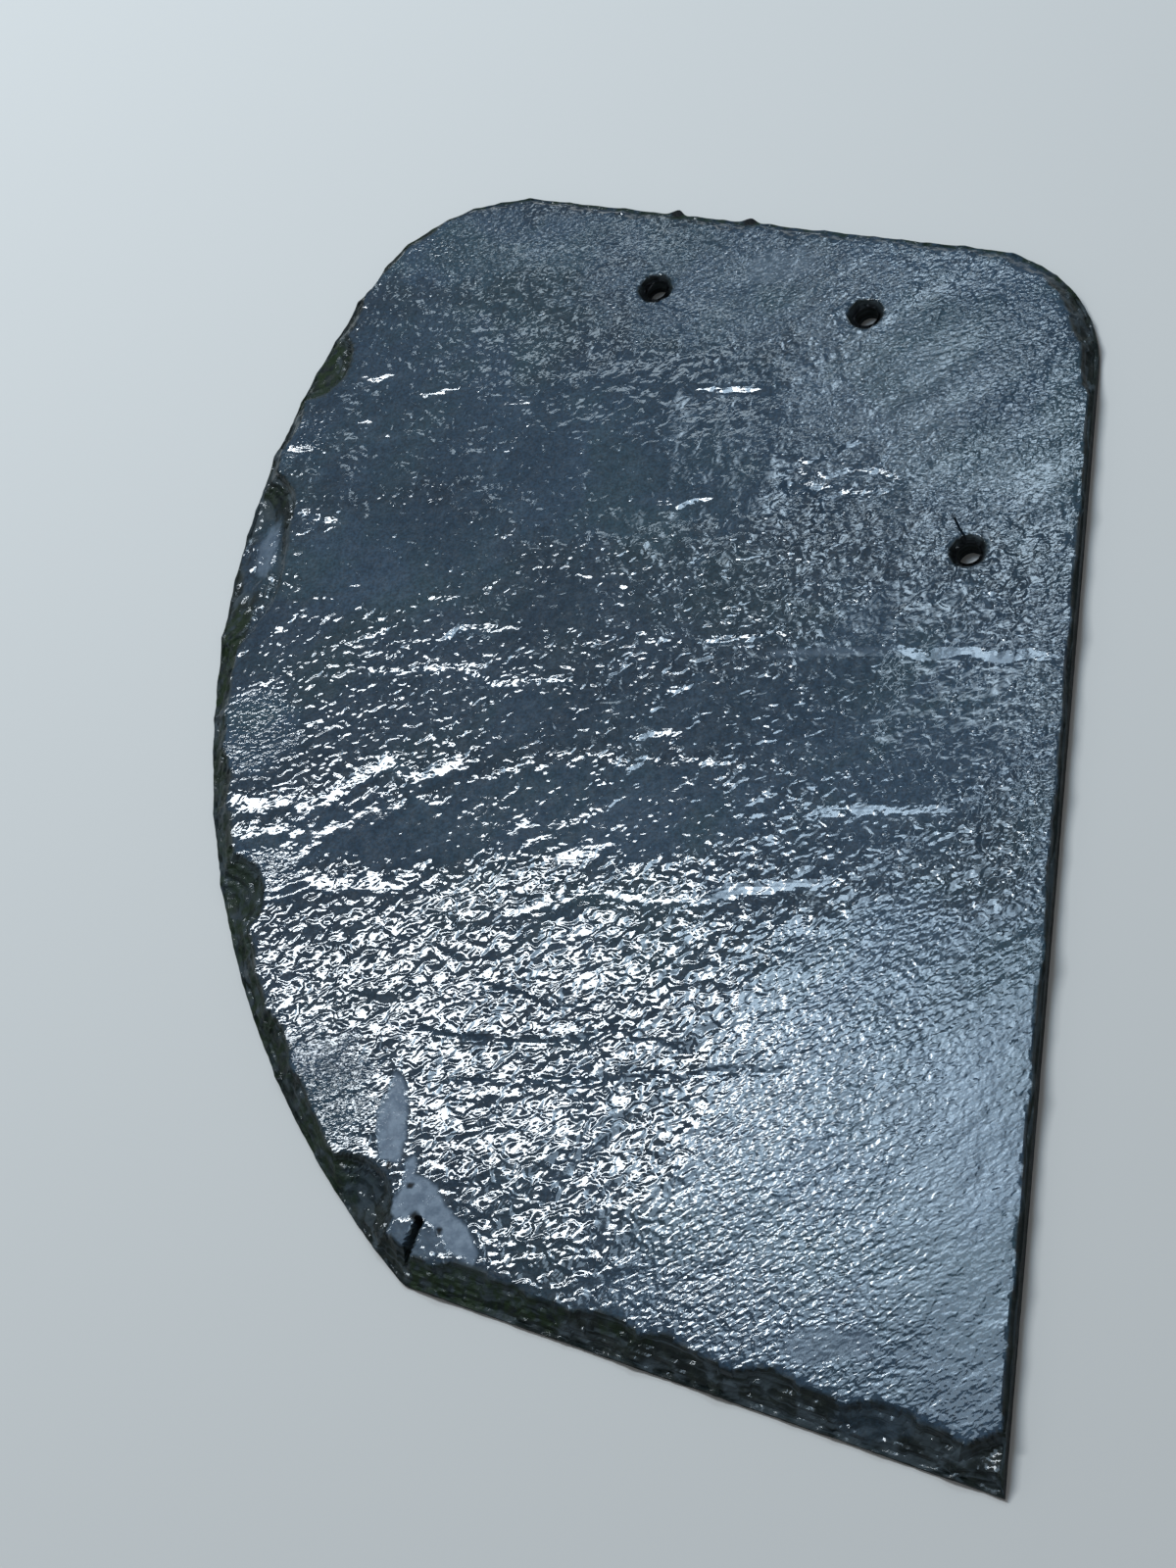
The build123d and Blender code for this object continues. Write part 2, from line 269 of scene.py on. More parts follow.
# Painted shade in the nail holes, the pits and the crack, and the dark dirt of the crumbs.
SHADE_AND_DIRT_BLACK = (0.006, 0.007, 0.008, 1)
FLOOR_PALE = (0.62, 0.60, 0.57, 1)
# How dark the stone's colour is made where the film of water swells most, as a share of its colour.
SWELL_DARKENING = 0.72

# The stone's own gloss, below the water, and the gloss of the film of water.
STONE_ROUGHNESS = (0.42, 0.62)
STONE_IOR = 1.2
FILM_ROUGHNESS = 0.05
FILM_IOR = 1.36

# Relief too fine for the mesh, in metres: the water's swells, its glitter on fine-grained stone and
# its calm ripples, the beads, the split layers on the broken edge, and the pores.
SWELL_BUMP = 0.00031
GLITTER_BUMP = 0.00020
CALM_BUMP = 0.00015
BEAD_BUMP = 0.00009
SPLIT_BUMP = 0.00030
PORE_BUMP = 0.00010
# Swells to a metre along the grain, across it and upwards, in the colour and in that relief.
STREAK_SCALE = (60, 190, 60)
LAYER_SCALE = (50, 50, 1500)
SWELL_SCALE = (330, 390, 330)
GLITTER_SCALE = (640, 1050, 700)
CALM_SCALE = (560, 900, 560)
SPLIT_SCALE = (90, 90, 2600)
PORE_SCALE = 1500
# Beads of water: cells to a metre, where a bead is full and where it ends as shares of a cell, and
# the share of the cells that have none.
BEAD_CELLS = 400
BEAD_REACH = (0.10, 0.34)
BEADLESS = 0.62

# The photograph's camera: its place in metres, and the directions that it looks and holds level.
# The render's camera stands there too and aims at the slate, with its sensor and lens in mm.
CAMERA_PLACE = Vector((0.210895, -0.285599, 0.526))
PHOTO_FORWARD = Vector((-0.072819, 0.596484, -0.799315))
PHOTO_RIGHT = Vector((0.996477, 0.010088, -0.083253))
AIM_AT = Vector((-0.002, -0.010, 0.003))
SENSOR = 36.0
LENS = 63.0

# Level softboxes over the slate, all facing down: place and size in metres, brightness and colour.
# The wet face mirrors the first in glints near the foot, the side ones at lower right, the strip
# beside the straight edge, the back ones at upper right, and the last at the head. The side ones lie
# one inside the other, and so do the back ones, for a light that fades out.
LAMPS = {
    "softbox": ((-0.66, 0.455, 1.30), (0.56, 0.13), 58.0, (0.86, 0.94, 1.0)),
    "side_panel": ((-0.24, 0.355, 1.30), (0.36, 0.37), 7.0, (0.60, 0.80, 1.0)),
    "side_middle": ((-0.27, 0.42, 1.29), (0.26, 0.24), 7.0, (0.60, 0.80, 1.0)),
    "side_core": ((-0.29, 0.455, 1.28), (0.14, 0.14), 10.0, (0.66, 0.84, 1.0)),
    "strip_panel": ((-0.15, 0.73, 1.30), (0.03, 0.32), 12.0, (0.66, 0.84, 1.0)),
    "back_panel": ((-0.225, 0.95, 1.30), (0.40, 0.32), 2.8, (0.66, 0.84, 1.0)),
    "back_middle": ((-0.21, 0.95, 1.295), (0.33, 0.27), 4.0, (0.66, 0.84, 1.0)),
    "back_inner": ((-0.19, 0.955, 1.29), (0.26, 0.22), 5.4, (0.66, 0.84, 1.0)),
    "back_core": ((-0.17, 0.96, 1.285), (0.19, 0.17), 7.5, (0.66, 0.84, 1.0)),
    "head_panel": ((-0.54, 1.24, 1.30), (0.46, 0.15), 9.0, (0.72, 0.88, 1.0)),
}
# These are oval, and the rest have straight sides.
OVAL_LAMPS = ("back_panel", "back_middle", "back_inner", "back_core")
OVAL_SHARE = math.pi / 4
# Even light from all round.
SKY_COLOUR = (0.88, 0.94, 1.0, 1)
SKY_STRENGTH = 0.26
# The floor's width in metres.
FLOOR_SIZE = 8.0

# Large numbers that mix a place and a seed into a random turn, and the noise's gain.
MIX_X = 374761393
MIX_Y = 668265263
MIX_SEED = 974634777
MIX_AGAIN = 1274126177
LOW_BITS = 0xFFFFF
NOISE_GAIN = 1.5


def smooth(low, high, value):
    """0 below low, 1 above high, and a smooth rise between them."""
    share = np.clip((value - low) / (high - low), 0, 1)
    return share * share * (3 - 2 * share)


def noise(x, y, seed):
    """Smooth seeded noise from about -1 to 1, with one swell to a unit."""
    left = np.floor(x).astype(np.int64)
    low = np.floor(y).astype(np.int64)
    part_x = x - left
    part_y = y - low

    def corner(step_x, step_y):
        mixed = (left + step_x) * MIX_X + (low + step_y) * MIX_Y + seed * MIX_SEED
        mixed = (mixed ^ (mixed >> 13)) * MIX_AGAIN
        mixed = mixed ^ (mixed >> 16)
        turn = (mixed & LOW_BITS) / LOW_BITS * math.tau
        return np.cos(turn) * (part_x - step_x) + np.sin(turn) * (part_y - step_y)

    ease_x = smooth(0, 1, part_x)
    ease_y = smooth(0, 1, part_y)
    bottom = corner(0, 0) * (1 - ease_x) + corner(1, 0) * ease_x
    top = corner(0, 1) * (1 - ease_x) + corner(1, 1) * ease_x
    return NOISE_GAIN * (bottom * (1 - ease_y) + top * ease_y)


def swells(x, y, size, seed):
    """Noise with swells of one size in millimetres."""
    return noise(x / size, y / size, seed)


def turned(x, y, turn):
    """Coordinates along a direction and across it."""
    return x * math.cos(turn) + y * math.sin(turn), y * math.cos(turn) - x * math.sin(turn)


def grain(x, y, turn, length, width, seed):
    """Noise drawn out along one direction."""
    along, across = turned(x, y, turn)
    return noise(along / length, across / width, seed)


def turned_grain(x, y, length, width, seed):
    """Noise that follows the slate's grain as it turns."""
    share = smooth(*GRAIN_TURNS, y) * (1 - smooth(*GRAIN_KEPT, x))
    lower = grain(x, y, LOWER_GRAIN, length, width, seed)
    upper = grain(x, y, UPPER_GRAIN, length, width, seed + 50)
    return lower * (1 - share) + upper * share


def layer_edges(x, y):
    """Depth of the broad steps where one thin layer ends and the next one shows."""
    field = turned_grain(x, y, *LAYER_FIELD, 21) * LAYER_COUNT
    field = field + 0.35 * turned_grain(x, y, 12, 6, 22) + 0.10 * swells(x, y, 2.6, 23)
    level = np.floor(field)
    return LAYER_DROP * (level + smooth(0, LAYER_EDGE, field - level))


def below_line(x, y, places):
    """How far each place lies on the foot's side of a layer edge, and its share of the line."""
    xs, ys = zip(*places)
    wander = 1.5 * noise(x / 7, y / 30, 31) + 0.6 * noise(x / 2.3, y / 9, 32)
    below = np.interp(x, xs, ys) + wander - y
    share = smooth(xs[0] - LINE_PAST, xs[0] + LINE_INSIDE, x)
    share = share * (1 - smooth(xs[-1] - LINE_INSIDE, xs[-1] + LINE_PAST, x))
    return below, share


def layer_line(x, y, places, slope, riser):
    """Depth below one layer edge from the photograph, which fades out towards the foot."""
    below, share = below_line(x, y, places)
    uneven = 1 + 0.30 * swells(x, y, 2.7, 33)
    drop = slope * uneven * np.clip(below, 0, riser)
    return drop * share * np.exp(-np.clip(below - riser, 0, None) / LAYER_FADE)


def on_riser(x, y):
    """Where the water lies smooth on the risers of the layer edges, from 0 to 1."""
    out = np.zeros(len(x))
    for places, slope, riser in LAYER_LINES:
        below, share = below_line(x, y, places)
        on_this = smooth(-0.6, 0.3, below) * (1 - smooth(riser - 0.3, riser + 0.6, below))
        out = np.maximum(out, share * on_this)
    return out


def spots(x, y, places, seed):
    """The highest share at each place of a set of oval areas with ragged edges."""
    ragged = 0.30 * swells(x, y, 5, seed) + 0.20 * swells(x, y, 1.8, seed + 1)
    out = np.zeros(len(x))
    for place_x, place_y, reach_x, reach_y, share in places:
        away = np.hypot((x - place_x) / reach_x, (y - place_y) / reach_y) + ragged
        out = np.maximum(out, share * (1 - smooth(0.72, 1.08, away)))
    return out


def flake_ledge(x, y):
    """How far each place lies outside the large flake's ledge, and the ledge's share there."""
    outside = np.interp(y, FLAKE_LEDGE_Y, FLAKE_LEDGE_X) + 0.5 * noise(x / 6, y / 4, 34) - x
    share = smooth(FLAKE_LEDGE_Y[0], 48, y) * (1 - smooth(77, 80, y))
    return outside, share


def small_scars(points, wanted):
    """Depth of the small curved flake scars at each wanted place, and 0 elsewhere."""
    low = points.min(axis=0) - SCAR_SPACING
    high = points.max(axis=0) + SCAR_SPACING
    centres = hex_grid(low, high, SCAR_SPACING)
    x, y = centres.T
    centres = centres + SCAR_WANDER * np.c_[swells(x, y, 2.9, 35), swells(x, y, 2.9, 36)]
    size = np.clip(0.5 + 0.9 * swells(x, y, 3.7, 37), 0, 1)
    reach = np.interp(size, (0, 1), SCAR_REACH)
    depth = np.interp(size, (0, 1), SCAR_DEPTH)
    tree = place_tree(centres)
    out = np.zeros(len(points))
    for index in np.flatnonzero(wanted).tolist():
        for _, number, away in tree.find_n((*points[index], 0), SCAR_OVERLAPS):
            if away < reach[number]:
                out[index] = max(out[index], depth[number] * (1 - (away / reach[number]) ** 2))
    return out


def crumbs(x, y):
    """How far the crumbs of dirt at the head's edge stick out near each place."""
    out = np.zeros(len(x))
    for place_x, place_y, reach, height in CRUMBS:
        away = np.hypot(x - place_x, y - place_y) / reach
        out = np.maximum(out, height * np.exp(-away ** 2))
    return out


def crack_line():
    """Places close together along the fine crack beside the hole at the straight edge."""
    return np.vstack([np.linspace(a, b, 5, endpoint=False) for a, b in zip(CRACK[:-1], CRACK[1:])])


def crack_places():
    """Three close rows of places along the crack, which cut it sharply into the mesh."""
    line = crack_line()
    along = line[-1] - line[0]
    aside = CRACK_HALF_WIDTH * np.array((-along[1], along[0])) / np.hypot(*along)
    return np.vstack([line - aside, line, line + aside])


def crack_share(x, y):
    """1 along the middle of the crack, 0 at its sides and away from it."""
    line = crack_line()

    def share(near_x, near_y):
        return 1 - smooth(0.05, 0.9 * CRACK_HALF_WIDTH, nearest(np.c_[near_x, near_y], line))

    return near_only(np.c_[x, y], line, 1, share)


def calm_area(x, y):
    """The smoother part of the face at lower right, from 0 to 1."""
    wander = 7 * swells(x, y, 18, 85) + 4 * swells(x, y, 5, 98)
    wider = 0.40 * np.clip(-70 - y, 0, None)
    return smooth(32, 62, x + wander + wider) * (1 - smooth(-48, -34, y + wander))


def hollow(x, y, place_x, place_y, half_length, half_width, turn, depth):
    """Depth of one shallow oval hollow."""
    along, across = turned(x - place_x, y - place_y, math.radians(turn))
    away = np.hypot(along / half_length, across / half_width) + 0.25 * swells(x, y, 6, 41)
    return depth * (1 - smooth(0.2, 1.25, away))


def riven_depth(x, y):
    """How far the riven face lies below the flat face of the CAD, never less than nothing."""
    depth = np.full(len(x), FACE_SUNK)
    height_left = (1 - 0.6 * calm_area(x, y)) * (1 - 0.5 * spots(x, y, STILL_PATCHES, 90))
    for seed, (length, width, height) in enumerate((SWELL, RIDGES, RIPPLES, PIMPLES)):
        depth -= height * height_left * turned_grain(x, y, length, width, 10 + seed)
    steps = layer_edges(x, y) * height_left
    depth += steps - steps.min()
    for places, slope, riser in LAYER_LINES:
        depth += layer_line(x, y, places, slope, riser)
    for spot in HOLLOWS:
        depth += hollow(x, y, *spot)
    outside, share = flake_ledge(x, y)
    depth += FLAKE_LEDGE_DROP * share * smooth(-0.2, 1.5, outside)
    depth += CRACK_DEPTH * crack_share(x, y)
    return np.clip(depth - FACE_RAISED, 0.0, None)


def snapped_layers(height, x, y):
    """Heights on the broken edge, lowered to treads where the layers snapped off."""
    level = height / BEVEL_LAYER + BEVEL_ROUGHNESS * swells(x, y, 8, 61)
    level = level + 0.30 * swells(x, y, 2.1, 62)
    part = level - np.floor(level)
    lowered = np.clip(part - smooth(0.5, 1.0, part), 0, None) * BEVEL_LAYER
    return height - lowered


def cad_mesh(node):
    """The CAD slate's corners in millimetres and its triangles, with doubled corners joined."""
    mesh = node.data
    mesh.calc_loop_triangles()
    corners = np.array([node.matrix_world @ v.co for v in mesh.vertices]) / MM
    triangles = np.array([t.vertices for t in mesh.loop_triangles])
    corners, joined = np.unique(corners.round(3), axis=0, return_inverse=True)
    return corners, joined.reshape(-1)[triangles]


def signed_area(ring):
    """Area inside a ring of places, below nothing where it runs clockwise."""
    after = np.roll(ring, -1, axis=0)
    return 0.5 * np.sum(ring[:, 0] * after[:, 1] - after[:, 0] * ring[:, 1])


def back_rings(corners, triangles):
    """The outline and the rims of the holes on the flat back, the outline first."""
    on_back = triangles[(corners[triangles][:, :, 2] < 0.01).all(axis=1)]
    edges = {(t[i], t[(i + 1) % 3]) for t in on_back.tolist() for i in range(3)}
    following = {a: b for a, b in edges if (b, a) not in edges}
    rings = []
    while following:
        first, here = following.popitem()
        ring = [first]
        while here != first:
            ring.append(here)
            here = following.pop(here)
        rings.append(corners[ring][:, :2])
    rings.sort(key=lambda ring: -abs(signed_area(ring)))
    rings = [ring if signed_area(ring) < 0 else ring[::-1] for ring in rings]
    return [rings[0][::-1]] + rings[1:]


def evenly_spaced(ring, spacing):
    """The ring with places about one spacing apart, its sharp corners kept."""
    before = ring - np.roll(ring, 1, axis=0)
    after = np.roll(ring, -1, axis=0) - ring
    turn = np.arctan2(after[:, 1], after[:, 0]) - np.arctan2(before[:, 1], before[:, 0])
    turn = np.abs((turn + math.pi) % math.tau - math.pi)
    sharp = np.flatnonzero(turn > SHARP_TURN)
    if not len(sharp):
        sharp = np.array([0])
    ring = np.roll(ring, -sharp[0], axis=0)
    stops = list(sharp - sharp[0]) + [len(ring)]
    closed = np.vstack([ring, ring[:1]])
    out = []
    for start, stop in zip(stops[:-1], stops[1:]):
        stretch = closed[start:stop + 1]
        lengths = np.hypot(*np.diff(stretch, axis=0).T)
        walked = np.concatenate([[0], np.cumsum(lengths)])
        count = max(1, round(walked[-1] / spacing))
        at = np.linspace(0, walked[-1], count + 1)[:-1]
        out.append(np.c_[np.interp(at, walked, stretch[:, 0]), np.interp(at, walked, stretch[:, 1])])
    return np.vstack(out)


def into_stone(ring):
    """Unit directions from each place of a ring into the stone, on the left as the ring runs."""
    along = np.roll(ring, -1, axis=0) - np.roll(ring, 1, axis=0)
    along /= np.linalg.norm(along, axis=1)[:, None]
    return np.c_[-along[:, 1], along[:, 0]]


def place_tree(places):
    """A tree in which the nearest of the places are found."""
    tree = KDTree(len(places))
    for index, (x, y) in enumerate(places):
        tree.insert((x, y, 0), index)
    tree.balance()
    return tree


def nearest(places, others):
    """Distance from each place to the nearest of the others."""
    tree = place_tree(others)
    return np.array([tree.find((x, y, 0))[2] for x, y in places])


def hex_grid(low, high, spacing):
    """Places in a honeycomb between a low and a high corner."""
    rows = np.arange(low[1], high[1], spacing * math.sqrt(3) / 2)
    columns = np.arange(low[0], high[0], spacing)
    x, y = np.meshgrid(columns, rows)
    x = x + 0.5 * spacing * (np.arange(len(rows)) % 2)[:, None]
    return np.c_[x.ravel(), y.ravel()]


def ring_places(outline):
    """Places on lines that run beside the outline, closer together near the edge."""
    inward = into_stone(outline)
    out = []
    for ring in range(1, RING_COUNT + 1):
        inset = RING_FIRST * ring + RING_GROWTH * ring * ring
        out.append(thinned(outline + inward * inset, outline, RING_CLEAR * inset))
    return np.vstack(out)


def cad_heights(tree, places):
    """Height of the CAD face at each place, or 0 where a ray from above meets no stone."""
    out = np.zeros(len(places))
    for index, (x, y) in enumerate(places):
        hit = tree.ray_cast(Vector((x, y, ABOVE_ALL)), DOWN)[0]
        if hit is not None:
            out[index] = hit.z
    return out


def thinned(places, others, gap):
    """The places that keep a gap from the others."""
    return places[nearest(places, others) > gap]


def face_places(rings, tree):
    """Places for the mesh of the face: close together at edges, holes and small features."""
    outline = rings[0]
    low = outline.min(axis=0)
    high = outline.max(axis=0)
    beside_edge = ring_places(outline)
    last_inset = RING_FIRST * RING_COUNT + RING_GROWTH * RING_COUNT ** 2
    inside = thinned(hex_grid(low, high, FACE_SPACING), outline, last_inset + 0.5 * FACE_SPACING)
    fine = hex_grid(low, high, FINE_SPACING)
    in_spot = np.zeros(len(fine), bool)
    for x, y, reach in FINE_SPOTS:
        in_spot |= np.hypot(fine[:, 0] - x, fine[:, 1] - y) < reach
    fine = thinned(fine[in_spot], outline, last_inset + 0.5 * FINE_SPACING)
    crack = crack_places()
    fine = np.vstack([thinned(fine, crack, 0.6 * FINE_SPACING), crack])
    inside = thinned(inside, fine, 0.75 * FACE_SPACING)
    places = np.vstack([beside_edge, fine, inside])
    places = places[cad_heights(tree, places) > LEAST_STONE]
    return thinned(places, np.vstack(rings), EDGE_GAP)


def inside_ring(places, ring):
    """Which places lie inside a ring."""
    after = np.roll(ring, -1, axis=0)
    out = np.zeros(len(places), bool)
    for (x0, y0), (x1, y1) in zip(ring, after):
        if y0 == y1:
            continue
        spans = (y0 > places[:, 1]) != (y1 > places[:, 1])
        cut = x0 + (places[:, 1] - y0) * (x1 - x0) / (y1 - y0)
        out ^= spans & (places[:, 0] < cut)
    return out


def triangles_over(rings, places):
    """Triangles between the rings' places and the others, none outside the outline or in a hole."""
    points = np.vstack([*rings, places])
    edges = []
    ring_of = np.full(len(points), -1)
    start = 0
    for number, ring in enumerate(rings):
        count = len(ring)
        edges += [(start + i, start + (i + 1) % count) for i in range(count)]
        ring_of[start:start + count] = number
        start += count
    _, _, cells, origins, _, _ = delaunay_2d_cdt([Vector(p) for p in points], edges, [], 0, 1e-7, True)
    source = np.array([origin[0] for origin in origins])
    faces = source[np.array(cells)]
    middle = points[faces].mean(axis=1)
    edge_only = (ring_of[faces] >= 0).all(axis=1)
    keep = np.ones(len(faces), bool)
    keep[edge_only] = inside_ring(middle[edge_only], rings[0])
    for number in range(1, len(rings)):
        keep &= ~(ring_of[faces] == number).all(axis=1)
    return points, faces[keep]


def bitten(ring, bite, seed):
    """The ring drawn into the stone by small seeded bites."""
    inward = into_stone(ring)
    x, y = ring.T
    depth = 0.5 + 0.5 * noise(x / 2.3 + y / 3.1, y / 2.3 - x / 3.1, seed)
    depth = depth * (0.4 + 0.6 * np.abs(swells(x, y, 9, seed + 1)))
    return ring + inward * (np.clip(depth, 0, 1) * bite)[:, None]


def broken_outline(ring, seed):
    """The outline as it broke: rough round the dressed edges, finer at the straight one."""
    rough = bitten(ring, EDGE_BITE, seed)
    fine = bitten(ring, STRAIGHT_BITE, seed)
    at_straight = smooth(STRAIGHT_FROM - 1.0, STRAIGHT_FROM, ring[:, 0])[:, None]
    outward = crumbs(*ring.T)[:, None]
    return rough * (1 - at_straight) + fine * at_straight - into_stone(ring) * outward


def face_heights(tree, points, to_outline):
    """Height of the stone's top at every place, how deep the break is there, and its ridges' wear and
    painted highlight.
    """
    x, y = points.T
    plain = cad_heights(tree, points)
    room = smooth(0.4, 2.0, to_outline) * EDGE_WANDER
    shift = np.c_[swells(x, y, 5, 71) + 0.5 * swells(x, y, 1.9, 72),
                  swells(x, y, 5, 73) + 0.5 * swells(x, y, 1.9, 74)]
    wandered = cad_heights(tree, points + shift * room[:, None])
    wandered = np.where(wandered > LEAST_STONE, wandered, plain)
    below = THICKNESS - np.minimum(plain, wandered)
    height = THICKNESS - below * smooth(*BREAK, below)
    on_bevel = smooth(0.15, 0.9, below) * smooth(0.2, 0.9, to_outline)
    height = height - on_bevel * (height - snapped_layers(height, x, y))
    height -= on_bevel * BEVEL_GRIT * (0.5 + 0.5 * swells(x, y, 1.6, 75))
    scars = small_scars(points, on_bevel > 0.02)
    height -= on_bevel * scars
    on_face = 1 - smooth(0.1, 2.2, below)
    height -= on_face * riven_depth(x, y)
    low, high = np.quantile(scars[on_bevel > 0.5], (0.10, 0.50))
    # Lighter ridges between the flake scars: partly wear, partly a painted highlight that shows the
    # facets.
    ridge_wear_and_highlight = on_bevel * (1 - smooth(low, high, scars))
    return height, below, ridge_wear_and_highlight


def outline_tops(tree, rings):
    """Height of the stone's top just inside every ring place, for the wall to start from."""
    heights = [cad_heights(tree, ring + into_stone(ring) * 0.08) for ring in rings]
    return [np.clip(height, 0.5, THICKNESS - 0.02) for height in heights]


def polygon_mask(x, y, corners):
    """1 well inside a polygon, 0 outside, with a soft wandering edge."""
    corners = np.array(corners)
    places = np.c_[x, y]
    dense = evenly_spaced(corners, 0.4)
    away = nearest(places, dense) * np.where(inside_ring(places, corners), 1, -1)
    return smooth(-0.5, 0.5, away + 0.35 * swells(x, y, 1.7, 81))


def near_only(places, corners, margin, function):
    """Runs a function only on the places in a box round some corners. Elsewhere the answer is 0."""
    low = np.min(corners, axis=0) - margin
    high = np.max(corners, axis=0) + margin
    out = np.zeros(len(places))
    some = ((places >= low) & (places <= high)).all(axis=1)
    out[some] = function(places[some, 0], places[some, 1])
    return out


def dry_and_sheen_mask(points):
    """Where the water has drawn off and the stone is pale, and a painted sheen on the large flake's floor.
    """
    dry_and_sheen = np.zeros(len(points))
    for corners in DRY_PATCHES:
        patch = near_only(points, corners, 2, lambda x, y: polygon_mask(x, y, corners))
        dry_and_sheen = np.maximum(dry_and_sheen, patch)
    return np.maximum(dry_and_sheen, spots(*points.T, PALE_AND_SHEEN_PATCHES, 92))


def shade_and_dirt_mask(x, y, holes):
    """Black: painted shade round the nail holes, in the pits and in the crack, and the crumbs' dark dirt.
    """
    hole_shade_and_dirt = np.zeros(len(x))
    # Painted shade in the funnels of the nail holes.
    for place_x, place_y in holes:
        away = np.hypot(x - place_x, y - place_y) + 0.45 * swells(x, y, 1.5, 87)
        hole_shade_and_dirt = np.maximum(hole_shade_and_dirt, 1 - smooth(3.3, 4.4, away))
    for place_x, place_y, reach in PITS:
        away = np.hypot(x - place_x, y - place_y) + 0.4 * swells(x, y, 1.1, 83)
        hole_shade_and_dirt = np.maximum(hole_shade_and_dirt, 1 - smooth(0.4 * reach, reach, away))
    hole_shade_and_dirt = np.maximum(hole_shade_and_dirt, crack_share(x, y))
    return np.maximum(hole_shade_and_dirt, smooth(0.3, 0.9, crumbs(x, y)))


def ragged_limit(x, y):
    """How far the limits of the dressed band and of the growth at the head wander."""
    return 0.22 * swells(x, y, 2.2, 82) + 0.12 * swells(x, y, 0.9, 83)


def at_head(x, y):
    """1 at the head's edge, 0 further down the slate."""
    return smooth(-6, -3, y - np.interp(x, HEAD_EDGE_X, HEAD_EDGE_Y))


def dressed_mask(x, y, below):
    """Where the face is broken by the hammer or by the large flake's ledge."""
    dressed = smooth(0.05, 0.28, below + ragged_limit(x, y) * smooth(0, 0.25, below))
    dressed *= 1 - spots(x, y, CLEAN_FLAKES, 86)
    dressed *= 1 - HEAD_CLEAN * at_head(x, y) * (1 - smooth(90, 95, x)) * smooth(-70, -60, x)
    outside, share = flake_ledge(x, y)
    on_ledge = smooth(-0.5, 0.2, outside) * (1 - smooth(2.2, 4.5, outside)) * share * smooth(42, 60, y)
    return np.maximum(dressed, on_ledge)


def moss_mask(x, y, below, to_outline):
    """Where algae and moss grow: in spots on the broken edges, and along the head's rim."""
    moss = spots(x, y, MOSS_SPOTS, 84)
    moss *= smooth(0.1, 1.0, below) * 0.75 + 0.25 * (1 - smooth(2, 9, to_outline))
    rim = (1 - smooth(0.6, 1.9, to_outline + 1.6 * ragged_limit(x, y))) * at_head(x, y)
    return np.maximum(moss, 0.75 * rim)


def film_masks(x, y, dry_and_sheen):
    """Where the film of water swells, glitters, lies calm and has beads."""
    calm = calm_area(x, y)
    fine = spots(x, y, FINE_PATCHES, 88)
    still = spots(x, y, STILL_PATCHES, 90)
    smooth_film = (1 - 0.8 * dry_and_sheen) * (1 - 0.6 * on_riser(x, y))
    rough = (1 - 0.88 * fine) * (1 - 0.85 * calm) * (1 - 0.78 * still) * smooth_film
    streaks = np.clip(0.5 + 0.9 * turned_grain(x, y, 26, 5, 100), 0, 1)
    fine = np.clip(fine + 0.12, 0, 1) * (1 - calm) * smooth_film * (0.45 + 0.75 * streaks)
    calm = calm * (1 - 0.6 * smooth(72, 100, x)) * smooth_film
    beads = np.maximum(rough, spots(x, y, BEAD_PATCHES, 96) * smooth_film)
    return {"rough": rough, "fine": fine, "calm": calm, "beads": beads}


def surface_masks(points, below, to_outline, ridge_wear_and_highlight, holes):
    """Every mask on the face and its bevel, from 0 to 1."""
    x, y = points.T
    dry_and_sheen = dry_and_sheen_mask(points)
    hole_shade_and_dirt = shade_and_dirt_mask(x, y, holes)
    moss = moss_mask(x, y, below, to_outline)
    dressed = dressed_mask(x, y, below)
    ridge_wear_and_highlight = ridge_wear_and_highlight * (1 - moss) * smooth(0.4, 1.4, to_outline)
    wet = (1 - 0.98 * np.maximum(dry_and_sheen, moss)) * (1 - 0.55 * dressed) * (1 - hole_shade_and_dirt)
    wet *= (0.1 + 0.9 * smooth(0.2, 1.3, to_outline)) * (1 - spots(x, y, DAMP_PATCHES, 94))
    return {"dressed": dressed, "moss": moss, "dry_and_sheen": dry_and_sheen * (1 - hole_shade_and_dirt) * (1 - dressed), "hole_shade_and_dirt": hole_shade_and_dirt,
            "wet": wet, "ridge_wear_and_highlight": ridge_wear_and_highlight, **film_masks(x, y, dry_and_sheen)}


def wall_rows(top, bottom, heights, bite, seed):
    """Rings of places down a broken wall, each layer set back by its own amount."""
    inward = into_stone(bottom)
    out = []
    for row in range(1, WALL_ROWS + 1):
        share = row / WALL_ROWS
        ring = top * (1 - share) + bottom * share
        x, y = ring.T
        back = 0.5 + 0.5 * noise(x / 4 + 17 * row, y / 4 - 11 * row, seed)
        back = np.clip(back, 0, 1) * bite * (1 - share)
        z = heights * (1 - share)
        out.append(np.c_[ring + inward * back[:, None], z])
    return out


def strip(upper, lower, count):
    """Faces between two rings of the same count, looking out of the stone."""
    here = np.arange(count)
    after = (here + 1) % count
    return np.c_[lower + here, lower + after, upper + after, upper + here]


def face_part(tree, rings, tops, top_heights):
    """Places, triangles and masks of the riven face and the bevel round it."""
    points, faces = triangles_over(tops, face_places(rings, tree))
    to_outline = nearest(points, rings[0])
    height, below, ridge_wear_and_highlight = face_heights(tree, points, to_outline)
    edge_heights = np.concatenate(top_heights)
    height[:len(edge_heights)] = edge_heights
    below[:len(edge_heights)] = THICKNESS - edge_heights
    masks = surface_masks(points, below, to_outline, ridge_wear_and_highlight, [ring.mean(axis=0) for ring in rings[1:]])
    return np.c_[points, np.clip(height, LEAST_HEIGHT, THICKNESS)], faces.tolist(), masks


